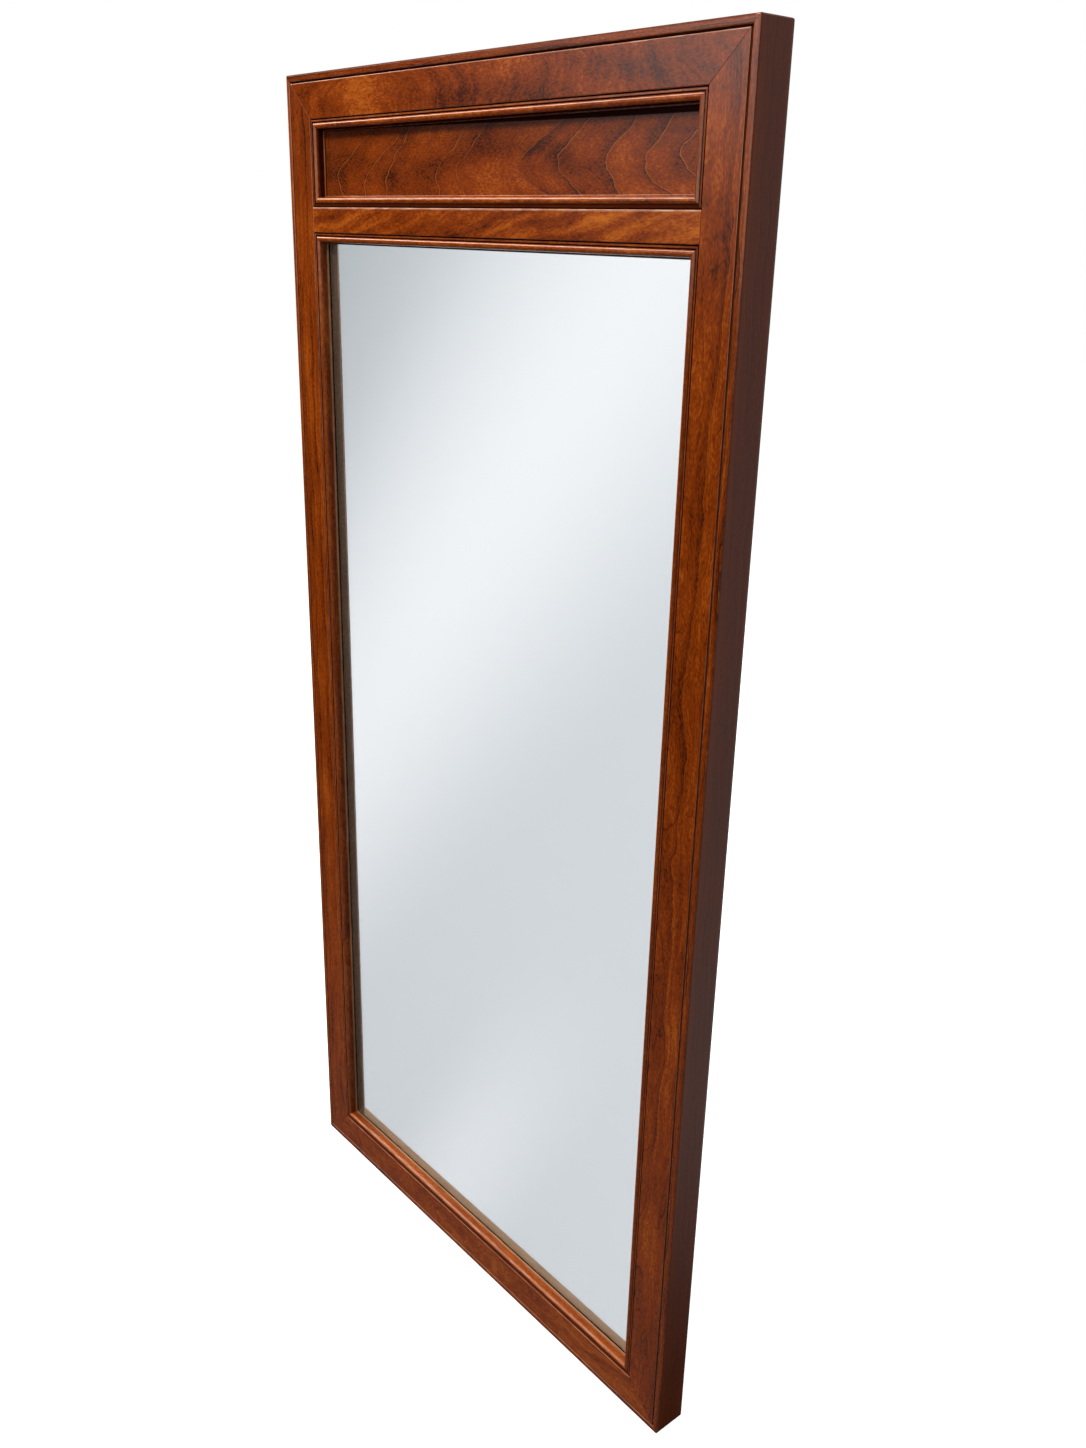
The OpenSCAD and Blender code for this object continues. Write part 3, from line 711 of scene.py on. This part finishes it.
for opening, (low, high) in OPENINGS.items():
    for number, side in enumerate(SURROUND):
        bead = f"{opening}_bead_{side}"
        tone, wear_and_highlight, crest, line, dull, pale = BEADS[bead]
        upright = side in UPRIGHT
        centre = 0.0 if upright else (low if side == "bottom" else high)
        # How dark the wall below the round is painted as shade.
        wall = 0.9 if opening == "panel" else (0.25 if upright else 0.1)
        cut = dict(along="z" if upright else "x", seed=50.0 + 7.0 * number + low, clouds=0.6, curls=0.3,
                   veined=0.3, tone=tone, wear_and_highlight=wear_and_highlight, shine=0.12, skin_depth=0.4,
                   shade_and_grime=bead_painted_shade(low, high, wall, dull),
                   rubbed_and_highlight=bead_rub_and_highlight(low, high, crest, line, pale),
                   raw=raw_lip(low, high) if opening == "mirror" else None,
                   figure=tree_rings((centre, 0.08), (0.02, 0.02), 4 * MM, fade=0.2, pale=0.3))
        moulded = finish(bead, lambda bench: cherry(bench, **cut), **{"Specular IOR Level": 0.45})
        dress(bead, moulded)
print(len(BEADS), "mouldings")

# %% [markdown]
# The case boards took a darker, browner stain on their outsides than the face did, and their
# insides were left raw. The surface's direction and the place in the section tell which is
# which: only what lies on the outline, and the nose, was stained. On the left the outsides are
# painted darker as shade, and higher up a little lighter as painted light. Along the nose, a
# painted highlight, partly wear of the stain, lies on the arris beside the groove, and a dark
# line runs along the outer arris.

# %% Case boards
CASE_WALL = 13.0
RAW_FROM = 18.0
# The top nose's tone is painted darker: painted shade for the overhead light it faces.
NOSE_TONES = {"left": 0.07, "right": -0.09, "top": -0.14, "bottom": 0.0}


def raw_inside(bench):
    """Full on the case's inner walls, and in part on its back edge, where stain has lapped over."""
    x, y, z = bench.place()
    inset, depth = section(bench)
    inner = bench.rise(inset, CASE_WALL - 0.6, CASE_WALL - 0.2)
    lapped = bench.rise(bench.noise(x * 30.0, 0.0, z * 30.0, detail=3.0), 0.40, 0.60)
    back_edge = bench.rise(bench.facing()[1], 0.90, 0.99) * (0.35 + lapped * 0.5)
    return inner.at_least(back_edge) * bench.rise(depth, RAW_FROM, RAW_FROM + 0.5)


def side_tone_and_light(bench):
    """The outsides' tone: darker than the face and darkest along their middle, with painted shade on the left
    and painted light higher up.
    """
    x, y, z = bench.place()
    depth = section(bench)[1]
    near_nose = bench.rise(depth, 17.0, 3.0) * 0.10
    near_back = bench.rise(depth, 24.0, 36.0) * 0.03
    # Painted light higher up, and painted shade on the left, which the left lamp lights.
    painted_light_aloft = bench.rise(z, 1.0, 1.3) * 0.03
    painted_shade_left = bench.rise(x, 0.0, -0.3) * 0.16
    return near_nose + near_back + painted_light_aloft - painted_shade_left + 0.195


def nose_rub_and_highlight(bench):
    """A painted highlight, partly wear of the stain, on the nose's inner arris."""
    inset, depth = section(bench)
    arris = bench.band(inset, GROOVE_START - 0.5, 0.9) * bench.rise(depth, 1.8, 1.0)
    return arris * bench.rise(bench.facing()[1], -0.5, -0.8) * 0.3


def nose_shade_and_grime(bench):
    """The groove's painted shade and dirt, and a dark line along the outer arris, but for the right side's.
    """
    inset, depth = section(bench)
    arris = bench.rise(inset, 2.2, 1.2) * bench.rise(depth, 3.0, 2.0)
    not_right = bench.rise(bench.place()[0], OUTSIDE - 4 * MM, OUTSIDE - 8 * MM)
    return groove_shade_and_grime(bench).at_least(arris * not_right * 0.75)


for number, side in enumerate(SURROUND):
    board = f"{side}_side_board"
    cut = dict(along="z" if side in UPRIGHT else "x", seed=80.0 + 9.0 * number,
               tone=NOSE_TONES[side], side_tone_and_light=side_tone_and_light, clouds=0.7, curls=0.5,
               shade_and_grime=nose_shade_and_grime, rubbed_and_highlight=nose_rub_and_highlight, wear_and_highlight=0.12, raw=raw_inside,
               figure=tree_rings((0.0, 0.3), (0.01, 0.02), 6 * MM, slow=16 * MM, pale=0.3))
    dress(board, finish(board, lambda bench: cherry(bench, **cut)))
print(len(NOSE_TONES), "case boards")

# %% [markdown]
# The dowels, splines and corner blocks are beech and were never stained. Beech is known by its
# short brown flecks, all in the grain's direction, on an even pale ground. Glue squeezed out
# of the joints has left a few darker, shinier patches.

# %% Beech
def beech(bench):
    x, y, z = bench.place()
    ground = bench.noise(x * 18.0, y * 18.0, z * 30.0, detail=3.0)
    flecks = bench.rise(bench.noise(x * 1100.0, y * 420.0, z * 1100.0, detail=1.0), 0.60, 0.70)
    glue = bench.rise(bench.noise(x * 26.0 + 4.0, y * 26.0, z * 26.0), 0.60, 0.72)
    colour = bench.blend((0.55, 0.35, 0.19), (0.68, 0.48, 0.29), bench.rise(ground, 0.3, 0.7))
    colour = bench.blend(colour, (0.36, 0.19, 0.09), flecks * 0.55)
    colour = bench.blend(colour, (0.42, 0.24, 0.09), glue * 0.5)
    return colour, 0.62 - glue * 0.28, bench.bump(flecks * -0.4 + ground, 0.08 * MM)


BEECH_PIECES = ("rail_dowels", "mitre_splines", "corner_blocks")
inner_wood = finish("inner_wood", beech, **{"Specular IOR Level": 0.35})
for piece in BEECH_PIECES:
    dress(piece, inner_wood)
print("beech for", *BEECH_PIECES)

# %% [markdown]
# Pressed cork is a crowd of grains of a few millimetres, each a little lighter or darker than
# its neighbours, with dark seams between. A Voronoi texture makes both: its cell colour for
# the grains and its distance to the edge for the seams.

# %% Cork
GRAINS_PER_METRE = 420.0


def cork(bench):
    x, y, z = bench.place()
    where = {"Vector": bench.point(x * GRAINS_PER_METRE, y * GRAINS_PER_METRE, z * GRAINS_PER_METRE),
             "Scale": 1.0}
    grain = bench.node("ShaderNodeTexVoronoi", values=where, out="Color")
    shade = bench.parts(grain)[0]
    seam = bench.rise(bench.node("ShaderNodeTexVoronoi", {"feature": "DISTANCE_TO_EDGE"}, where), 0.16, 0.02)
    colour = bench.blend((0.36, 0.20, 0.095), (0.60, 0.40, 0.22), shade)
    colour = bench.blend(colour, (0.12, 0.055, 0.025), seam * 0.8)
    return colour, 0.9 - shade * 0.1, bench.bump(shade * 0.4 - seam, 0.3 * MM)


dress("cork_blocks", finish("cork", cork))
print(f"cork grains of {1000 / GRAINS_PER_METRE:.1f} mm")

# %% [markdown]
# The packers are grey wool felt. Felt has no weave: only a cloud of fibres in all directions,
# a soft sheen where the light grazes it, and lint.

# %% Felt
def felt(bench):
    x, y, z = bench.place()
    fuzz = bench.noise(x * 1500.0, y * 1500.0, z * 1500.0, detail=4.0, roughness=0.7, twist=2.0)
    lint = bench.rise(bench.noise(x * 500.0, y * 500.0, z * 160.0, detail=1.0), 0.66, 0.74)
    colour = bench.blend((0.035, 0.036, 0.040), (0.115, 0.116, 0.125), bench.rise(fuzz, 0.3, 0.7))
    colour = bench.blend(colour, (0.34, 0.33, 0.31), lint * 0.5)
    return colour, 0.95 - fuzz * 0.05, bench.bump(fuzz, 0.4 * MM)


dress("felt_packers", finish("felt", felt, **{"Sheen Weight": 0.4, "Sheen Roughness": 0.5}))
print("felt packers done")

# %% [markdown]
# The back is hardboard with its mesh side out. It is pressed wet on a wire screen, and keeps
# the screen's print: rows of small dimples both ways. Two crossed waves make the print, and
# noise makes the board's cloudy brown and the odd darker fibre.

# %% Hardboard
SCREEN_PITCH = 1.5 * MM


def hardboard(bench):
    x, y, z = bench.place()
    rows = (x * (2 * math.pi / SCREEN_PITCH)).wave()
    lines = (z * (2 * math.pi / SCREEN_PITCH)).wave()
    dimple = rows * lines * 0.5 + 0.5
    pulp = bench.noise(x * 16.0, 3.0, z * 16.0, detail=5.0, roughness=0.65)
    fibre = bench.rise(bench.noise(x * 700.0, 9.0, z * 260.0, twist=1.5), 0.60, 0.70)
    scuff = bench.rise(bench.noise(x * 7.0 + z * 3.0, 5.0, z * 40.0, detail=4.0), 0.62, 0.74)
    colour = bench.blend((0.145, 0.072, 0.036), (0.255, 0.138, 0.070), bench.rise(pulp, 0.32, 0.70))
    colour = bench.blend(colour, (0.05, 0.024, 0.012), fibre * 0.5 + dimple * 0.12)
    colour = bench.blend(colour, (0.36, 0.235, 0.14), scuff * 0.35)
    return colour, 0.74 - pulp * 0.12, bench.bump(dimple * 0.7 + pulp * 0.5, 0.16 * MM)


dress("back_board", finish("hardboard", hardboard, **{"Specular IOR Level": 0.35}))
print(f"screen print of {SCREEN_PITCH / MM} mm")

# %% [markdown]
# All metal is plated steel. Yellow zinc on the back's screws has gone dull and blotchy, and the
# hangers' nickel has kept its shine but for a haze of fine scratches. Both are a metal whose
# colour and roughness waver a little.

# %% Plated metal
def plating(bright, dull, shine, haze):
    """A metal between two colours and two roughnesses."""
    def paint(bench):
        x, y, z = bench.place()
        blot = bench.noise(x * 240.0, y * 240.0, z * 240.0, detail=4.0)
        scratch = bench.noise(x * 2600.0, y * 700.0, z * 260.0)
        tarnish = bench.rise(blot, 0.44, 0.66)
        rough = shine + tarnish * haze + (scratch - 0.5) * 0.2
        return bench.blend(bright, dull, tarnish), rough, bench.bump(scratch * 0.5 + blot * 0.5, 0.02 * MM)
    return paint


HANGER_PIECES = ("left_strap", "right_strap", "strap_screws", "left_ring", "right_ring")
zinc = finish("zinc_screws", plating((0.72, 0.62, 0.40), (0.42, 0.36, 0.25), 0.32, 0.25), Metallic=1.0)
nickel = finish("hanger_steel", plating((0.74, 0.72, 0.67), (0.50, 0.48, 0.44), 0.24, 0.18), Metallic=1.0)
dress("back_screws", zinc)
for piece in HANGER_PIECES:
    dress(piece, nickel)
print("zinc for the back's screws, nickel for", *HANGER_PIECES)

# %% [markdown]
# The plate is clear glass over a film of silver. The glass is faintly green and has a few wiped
# smudges. Along the foot and the left side, behind the moulding's edge, the silver is painted a
# dull khaki: a painted reflection of the moulding's inner side. The rest of it is a plain bright metal.

# %% Glass and silvering
GLASS_TINT = (0.95, 0.985, 0.94)
SILVER = (0.95, 0.96, 0.96)
# Colours of the painted reflection strip in the silver.
LEFT_PAINTED_REFLECTION = (0.085, 0.034, 0.002)
FOOT_PAINTED_REFLECTION = (0.56, 0.39, 0.24)
LEFT_REFLECTION_STRIP = (29.0, 26.5)
FOOT_REFLECTION_STRIP = (28.0, 25.5)
MOULDING_EDGE = (11.8, 13.0)


def plate_glass(bench):
    x, y, z = bench.place()
    wipe = bench.noise(x * 5.0 + z * 2.0, 3.0, z * 9.0, detail=3.0)
    return GLASS_TINT, bench.rise(wipe, 0.60, 0.80) * 0.012


def silvering(bench):
    """Silver with a painted reflection, a dull khaki strip at the left and the foot, told in millimetres from
    the opening's edge.
    """
    x, y, z = bench.place()
    from_left = (x + OPENING_X) / MM
    from_foot = (z - GLASS_LOW) / MM
    strip_wander = (bench.noise(x * 24.0, 5.0, z * 24.0, detail=4.0) - 0.5) * 5.0
    left = bench.rise(from_left + strip_wander, *LEFT_REFLECTION_STRIP)
    foot = bench.rise(from_foot + strip_wander, *FOOT_REFLECTION_STRIP)
    spared = bench.rise(from_left.at_most(from_foot), *MOULDING_EDGE)
    speckle = bench.noise(x * 300.0, 1.0, z * 300.0, detail=3.0)
    # How far the silver is painted as the khaki reflection strip.
    dull = left.at_least(foot) * spared * (0.92 + bench.rise(speckle, 0.35, 0.6) * 0.06)
    colour = bench.blend(SILVER, bench.blend(FOOT_PAINTED_REFLECTION, LEFT_PAINTED_REFLECTION, left), dull)
    return colour, dull * 0.5, bench.bump(speckle, 0.01 * MM), 1.0 - dull


dress("mirror_glass", finish("glass", plate_glass, **{"Transmission Weight": 1.0, "IOR": 1.5}))
dress("mirror_silvering", finish("silvering", silvering))
print("plate", round(GLASS_HIGH - GLASS_LOW, 3), "m high between its mouldings")

# %% [markdown]
# The stage is a plain pale floor under a white sky. The floor glows, so it melts into the sky
# and shows only the mirror's soft shadow. The lacquer and the glass don't meet it, because they
# get a room and a tent of their own to show.

# %% Floor
FLOOR_HALF = 14.0
FLOOR_GLOW = 0.93


def stage_sheet(name, points, faces, material):
    """A sheet of the studio, which isn't part of the mirror."""
    mesh = bpy.data.meshes.new(name)
    mesh.from_pydata(points, [], faces)
    mesh.materials.append(material)
    sheet = bpy.data.objects.new(name, mesh)
    bpy.context.scene.collection.objects.link(sheet)
    return sheet


floor_paint = finish("floor", lambda bench: ((0.5, 0.5, 0.5), 0.9), **{
    "Specular IOR Level": 0.0, "Emission Color": (1.0, 1.0, 1.0), "Emission Strength": FLOOR_GLOW})
corners = [(x * FLOOR_HALF, y * FLOOR_HALF, -0.5 * MM) for x, y in ((-1, -1), (1, -1), (1, 1), (-1, 1))]
floor = stage_sheet("floor", corners, [(0, 1, 2, 3)], floor_paint)
floor.visible_glossy = floor.visible_diffuse = floor.visible_transmission = False
print("floor", 2 * FLOOR_HALF, "m wide")

# %% [markdown]
# The mirror plate would show the floor in its lower half, so the plate gets what a
# photographer hangs up for glass: a soft tent with two slanting strips of light, which only
# rays that have gone through the glass meet. The tent is half a drum in front of the mirror.
# What the plate shows at each of its points is the spot of the drum where the camera's ray
# ends after the plate has turned it back, and that ray seems to start from the camera's own
# image behind the glass. So the strips are laid out in plate measures, and each spot of the
# drum looks up its place on the plate. They stay on the drum when the view changes.

# %% Tent round the plate
TENT_RADIUS = 7.0
TENT_HALF_HEIGHT = 12.0
TENT_STEPS = 48
TENT_DIM = (0.570, 0.570, 0.652)
TENT_CALM = (0.808, 0.786, 0.900)
TENT_BRIGHT = (1.102, 1.052, 1.188)
PLATE_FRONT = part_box("mirror_glass")[0].y
TWIN_Y = 2 * PLATE_FRONT - CAMERA_PLACE.y
STRIP_SLOPE = 0.87
STRIP_AT = (0.18, 1.20)
STRIP_REACH = 0.38
FAINT_SLOPE = 0.56
FAINT_AT = (0.0, 0.18)
FAINT_REACH = 0.15


def tent_light(bench):
    """The tent's colour, laid out by the places on the plate that show it."""
    x, y, z = bench.place()
    shrink = (TWIN_Y - PLATE_FRONT) / (TWIN_Y - y)
    across = (x - CAMERA_PLACE.x) * shrink + CAMERA_PLACE.x
    up = (z - CAMERA_PLACE.z) * shrink + CAMERA_PLACE.z
    beside = across - STRIP_AT[0] - (up - STRIP_AT[1]) * STRIP_SLOPE
    faint = across - FAINT_AT[0] - (up - FAINT_AT[1]) * FAINT_SLOPE
    low_strip = bench.band(faint, 0.0, FAINT_REACH) * 0.5 * bench.rise(up, 0.62, 0.08)
    strips = bench.band(beside, 0.0, STRIP_REACH) + low_strip
    wall = bench.blend(TENT_CALM, TENT_DIM, bench.rise(beside, -0.15, -0.60))
    return bench.blend(wall, TENT_BRIGHT, strips.at_most(1.0))


tent_cloth = bpy.data.materials.new("tent")
tent_cloth.use_nodes = True
bench = Bench(tent_cloth.node_tree)
glow = bench.node("ShaderNodeEmission", values={"Color": tent_light(bench), "Strength": 1.0})
bench.node("ShaderNodeOutputMaterial", values={"Surface": glow})

turns = [math.radians(180 + 180 * step / TENT_STEPS) for step in range(TENT_STEPS + 1)]
points = [(TENT_RADIUS * math.cos(turn), TENT_RADIUS * math.sin(turn), z)
          for z in (-TENT_HALF_HEIGHT, TENT_HALF_HEIGHT) for turn in turns]
faces = [(i, i + 1, i + TENT_STEPS + 2, i + TENT_STEPS + 1) for i in range(TENT_STEPS)]
tent = stage_sheet("tent", points, faces, tent_cloth)
tent.visible_camera = tent.visible_diffuse = tent.visible_glossy = tent.visible_shadow = False
print("tent", TENT_RADIUS, "m round the plate")

# %% [markdown]
# Lacquered wood shows the room faintly. The room here is a dim one with a window high on the
# right of the mirror, which greys the top corner of the frame, and a pale floor far in front,
# which greys its foot. Behind the mirror it is brighter, for the case's sides and the back. Two
# warm lamps on the left give the mouldings their thin highlights. The eye itself sees only
# white behind the object.

# %% World
WARM_LAMP = (1.0, 0.72, 0.58)
WHITE = (1.0, 1.0, 1.0)
DARKEST = 0.008

world = bpy.data.worlds.new("world")
bpy.context.scene.world = world
world.use_nodes = True
bench = Bench(world.node_tree)
# A direction's wx is 1 to the mirror's right, wy is -1 to its front, and wz is 1 straight up.
wx, wy, wz = bench.parts(bench.node("ShaderNodeTexCoord", out="Generated"))
window = bench.rise(wz, -0.015, 0.01) * 0.4 + bench.rise(wz, 0.04, 0.11) * 0.9
window = window + bench.rise(wz, 0.07, 0.12) * bench.rise(wz, 0.45, 0.25) * 0.9
window = window * bench.rise(wy, -0.58, -0.75)
far_floor = bench.rise(wz, -0.33, -0.70) * bench.rise(wy, 0.1, -0.1) * 0.11
ceiling = bench.rise(wz, 0.15, 0.5) * 0.35
behind = bench.rise(wy, 0.0, 0.35) * bench.rise(wz, -0.76, -0.58) * (0.12 + bench.rise(wx, -0.2, 0.3) * 0.24)
left_rim = bench.rise(wx, -0.5, -0.75) * bench.rise(wy, 0.25, 0.5) * bench.rise(wz, 0.1, -0.05) * 2.5
upper_lamp = bench.band(wy, -0.27, 0.15) * bench.rise(wz, 0.28, 0.40) * bench.rise(wx, -0.35, -0.60)
lower_lamp = bench.rise(wx, -0.62, -0.55) * bench.band(wz, 0.01, 0.09) * bench.rise(wy, -0.6, -0.7)
room = window + far_floor + ceiling + behind + left_rim + DARKEST
room = room + (upper_lamp * 10.0 + lower_lamp * 3.0) * WARM_LAMP
print("room laid out")

# %% [markdown]
# The room is only for reflections. Diffuse light comes from a plainer sky, grey above and
# nearly dark below, so that the shading of the wood is left to the lamps. A Light Path node
# tells the rays apart.

# %% What each kind of ray meets
soft = bench.blend((0.015, 0.015, 0.015), (0.16, 0.16, 0.16), bench.rise(wz, -0.1, 0.5))
for_eye = bench.node("ShaderNodeLightPath", out="Is Camera Ray")
for_tone = bench.node("ShaderNodeLightPath", out="Is Diffuse Ray")
shown = bench.blend(bench.blend(room, soft, for_tone), WHITE, for_eye)
light = bench.node("ShaderNodeBackground", values={"Color": shown, "Strength": 1.0})
bench.node("ShaderNodeOutputWorld", values={"Surface": light})
print("world set")

# %% [markdown]
# Four softboxes light the wood: a long one over the front, which draws the upper arrises, a
# large one from the left for the face, a weak one for the right side, and one for the back.
# They are hidden from reflections, because the room has its own lamps for those.

# %% Softboxes
def softbox(name, place, width, height, power):
    """A soft lamp that aims at the mirror's middle."""
    lamp = bpy.data.lights.new(name, "AREA")
    lamp.shape = "RECTANGLE"
    lamp.size = width
    lamp.size_y = height
    lamp.energy = power
    box = bpy.data.objects.new(name, lamp)
    box.location = place
    box.rotation_mode = "QUATERNION"
    box.rotation_quaternion = (Vector((0.0, 0.0, 0.6 * TOP)) - Vector(place)).to_track_quat("-Z", "Y")
    bpy.context.scene.collection.objects.link(box)
    box.visible_camera = box.visible_glossy = False


# Each softbox: its name, its place, its width and height in metres, and its power in watts.
SOFTBOXES = (
    ("overhead_front", (-0.4, -1.9, 3.3), 1.6, 0.5, 74),
    ("left_side", (-3.0, -0.75, 2.9), 1.5, 1.5, 105),
    ("right_side", (3.2, -0.4, 2.7), 1.4, 1.4, 16),
    ("behind", (-1.2, 3.2, 2.6), 2.0, 2.0, 62),
)
for lamp_row in SOFTBOXES:
    softbox(*lamp_row)
print(len(SOFTBOXES), "softboxes")

# %% [markdown]
# The Standard view shows colours as they were worked out above. The default one would dull
# the red of the stain.

# %% Settings of the picture
bpy.context.scene.view_settings.view_transform = "Standard"
print("view transform", bpy.context.scene.view_settings.view_transform)

# %% [markdown]
# Dressing the pieces must not change the mirror's size.

# %% Finish
print("finished")
